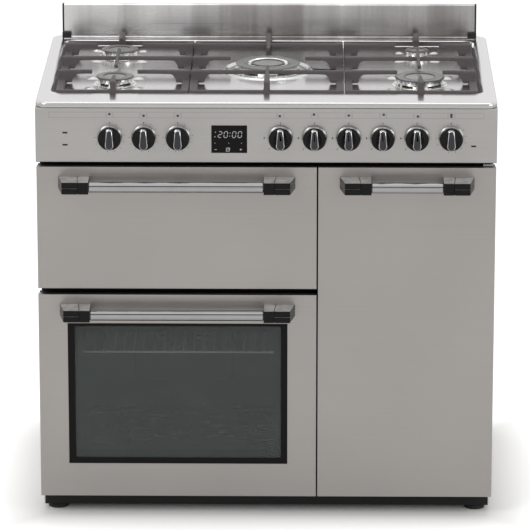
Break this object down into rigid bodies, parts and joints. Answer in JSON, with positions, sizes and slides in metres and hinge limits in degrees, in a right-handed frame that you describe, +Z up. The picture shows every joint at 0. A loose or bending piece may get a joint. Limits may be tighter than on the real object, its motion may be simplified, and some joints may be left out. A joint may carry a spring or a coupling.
{
  "type": "range cooker",
  "caption": "Free-standing steel range cooker with gas hob, cast-iron pan supports, grill, main and tall ovens, knob panel and rear upstand.",
  "frame": {"origin": "on the floor, under the middle of the overall box, handles included", "axes": "+Z up, front towards -Y, +X to the right as seen from the front"},
  "size_m": [0.9, 0.65, 0.92],
  "materials": {
    "steel": "brushed, fine level grain",
    "hob_steel": "satin, reflective",
    "zinc": "galvanised",
    "black_enamel": "glossy enamel",
    "black_paint": "semi-matt",
    "black_plastic": "matt",
    "gloss_black": "gloss",
    "knob_black": "gloss with chromed skirt and grip edge",
    "switch_body": "moulded",
    "black_glass": "gloss",
    "lens": "clear",
    "oven_glass": "tinted, clear",
    "burner_alloy": "satin",
    "cap_enamel": "satin enamel",
    "cast_iron": "matt enamel",
    "element_steel": "heat-darkened",
    "wire_chrome": "polished",
    "chrome": "polished",
    "brass": "turned",
    "seal_rubber": "matt"
  },
  "bodies": {
    "root": {"side_panels": "steel", "back_panel": "zinc", "chassis_rails": "zinc", "front_frame": "black_enamel", "plinth": "black_paint", "feet": "black_plastic", "hob_top": "hob_steel", "upstand": "steel", "upstand_brackets": "black_plastic", "control_panel": "steel", "clock_display": "black_glass", "lamp_lenses": "lens", "gas_rail": "zinc", "oven_switches": "switch_body", "burner_cups": "burner_alloy", "burner_crowns": "burner_alloy", "burner_caps": "cap_enamel", "main_cavity": "black_enamel", "grill_cavity": "black_enamel", "tall_cavity": "black_enamel", "oven_elements": "element_steel", "fan_covers": "black_enamel", "fan_motors": "zinc", "shelf_racks": "wire_chrome", "oven_shelves": "wire_chrome", "grill_pan": "black_enamel", "door_seals": "seal_rubber", "hinge_brackets": "zinc"},
    "grill_door": {"grill_door_panel": "steel", "grill_door_liner": "black_enamel", "grill_door_handle": "chrome", "grill_handle_ends": "gloss_black"},
    "main_door": {"main_door_panel": "steel", "main_door_liner": "black_enamel", "main_door_handle": "chrome", "main_handle_ends": "gloss_black", "main_door_glass": "oven_glass"},
    "tall_door": {"tall_door_panel": "steel", "tall_door_liner": "black_enamel", "tall_door_handle": "chrome", "tall_handle_ends": "gloss_black"},
    "tap_stem_1": {"tap_stem_1": "brass"},
    "gas_knob_1": {"gas_knob_1": "knob_black"},
    "tap_stem_2": {"tap_stem_2": "brass"},
    "gas_knob_2": {"gas_knob_2": "knob_black"},
    "tap_stem_3": {"tap_stem_3": "brass"},
    "gas_knob_3": {"gas_knob_3": "knob_black"},
    "tap_stem_4": {"tap_stem_4": "brass"},
    "gas_knob_4": {"gas_knob_4": "knob_black"},
    "tap_stem_5": {"tap_stem_5": "brass"},
    "gas_knob_5": {"gas_knob_5": "knob_black"},
    "oven_knob_1": {"oven_knob_1": "knob_black"},
    "oven_knob_2": {"oven_knob_2": "knob_black"},
    "oven_knob_3": {"oven_knob_3": "knob_black"},
    "oven_knob_4": {"oven_knob_4": "knob_black"},
    "pan_support_left": {"pan_support_left": "cast_iron"},
    "pan_support_centre": {"pan_support_centre": "cast_iron"},
    "pan_support_right": {"pan_support_right": "cast_iron"},
    "main_fan": {"main_fan": "element_steel"},
    "tall_fan": {"tall_fan": "element_steel"}
  },
  "joints": [
    {"name": "grill_door_drop", "type": "hinge", "parent": "root", "child": "grill_door", "pos_m": [-0.175, -0.255, 0.4866], "axis": [1, 0, 0], "range_deg": [0, 90]},
    {"name": "main_door_drop", "type": "hinge", "parent": "root", "child": "main_door", "pos_m": [-0.175, -0.255, 0.056], "axis": [1, 0, 0], "range_deg": [0, 87]},
    {"name": "tall_door_swing", "type": "hinge", "parent": "root", "child": "tall_door", "pos_m": [0.436, -0.255, 0.3818], "axis": [0, 0, 1], "range_deg": [0, 95]},
    {"name": "tap_turn_1", "type": "hinge", "parent": "root", "child": "tap_stem_1", "pos_m": [0.02765, -0.275, 0.78], "axis": [0, -1, 0], "range_deg": [0, 210]},
    {"name": "gas_press_1", "type": "slide", "parent": "tap_stem_1", "child": "gas_knob_1", "axis": [0, 1, 0], "range_m": [0, 0.0035], "stiffness_N_per_m": 900, "springref_m": -0.002},
    {"name": "tap_turn_2", "type": "hinge", "parent": "root", "child": "tap_stem_2", "pos_m": [0.09415, -0.275, 0.78], "axis": [0, -1, 0], "range_deg": [0, 210]},
    {"name": "gas_press_2", "type": "slide", "parent": "tap_stem_2", "child": "gas_knob_2", "axis": [0, 1, 0], "range_m": [0, 0.0035], "stiffness_N_per_m": 900, "springref_m": -0.002},
    {"name": "tap_turn_3", "type": "hinge", "parent": "root", "child": "tap_stem_3", "pos_m": [0.16065, -0.275, 0.78], "axis": [0, -1, 0], "range_deg": [0, 210]},
    {"name": "gas_press_3", "type": "slide", "parent": "tap_stem_3", "child": "gas_knob_3", "axis": [0, 1, 0], "range_m": [0, 0.0035], "stiffness_N_per_m": 900, "springref_m": -0.002},
    {"name": "tap_turn_4", "type": "hinge", "parent": "root", "child": "tap_stem_4", "pos_m": [0.22715, -0.275, 0.78], "axis": [0, -1, 0], "range_deg": [0, 210]},
    {"name": "gas_press_4", "type": "slide", "parent": "tap_stem_4", "child": "gas_knob_4", "axis": [0, 1, 0], "range_m": [0, 0.0035], "stiffness_N_per_m": 900, "springref_m": -0.002},
    {"name": "tap_turn_5", "type": "hinge", "parent": "root", "child": "tap_stem_5", "pos_m": [0.29365, -0.275, 0.78], "axis": [0, -1, 0], "range_deg": [0, 210]},
    {"name": "gas_press_5", "type": "slide", "parent": "tap_stem_5", "child": "gas_knob_5", "axis": [0, 1, 0], "range_m": [0, 0.0035], "stiffness_N_per_m": 900, "springref_m": -0.002},
    {"name": "oven_knob_turn_1", "type": "hinge", "parent": "root", "child": "oven_knob_1", "pos_m": [-0.3051, -0.275, 0.78], "axis": [0, 1, 0], "range_deg": [0, 270]},
    {"name": "oven_knob_turn_2", "type": "hinge", "parent": "root", "child": "oven_knob_2", "pos_m": [-0.2386, -0.275, 0.78], "axis": [0, 1, 0], "range_deg": [0, 270]},
    {"name": "oven_knob_turn_3", "type": "hinge", "parent": "root", "child": "oven_knob_3", "pos_m": [-0.1721, -0.275, 0.78], "axis": [0, 1, 0], "range_deg": [0, 270]},
    {"name": "oven_knob_turn_4", "type": "hinge", "parent": "root", "child": "oven_knob_4", "pos_m": [0.36015, -0.275, 0.78], "axis": [0, 1, 0], "range_deg": [0, 270]},
    {"name": "support_lift_left", "type": "slide", "parent": "root", "child": "pan_support_left", "axis": [0, 0, 1], "range_m": [0, 0.08]},
    {"name": "support_lift_centre", "type": "slide", "parent": "root", "child": "pan_support_centre", "axis": [0, 0, 1], "range_m": [0, 0.08]},
    {"name": "support_lift_right", "type": "slide", "parent": "root", "child": "pan_support_right", "axis": [0, 0, 1], "range_m": [0, 0.08]},
    {"name": "main_fan_spin", "type": "hinge", "parent": "root", "child": "main_fan", "pos_m": [-0.175, 0.171, 0.255], "axis": [0, -1, 0], "continuous": true},
    {"name": "tall_fan_spin", "type": "hinge", "parent": "root", "child": "tall_fan", "pos_m": [0.2754, 0.171, 0.39], "axis": [0, -1, 0], "continuous": true}
  ]
}
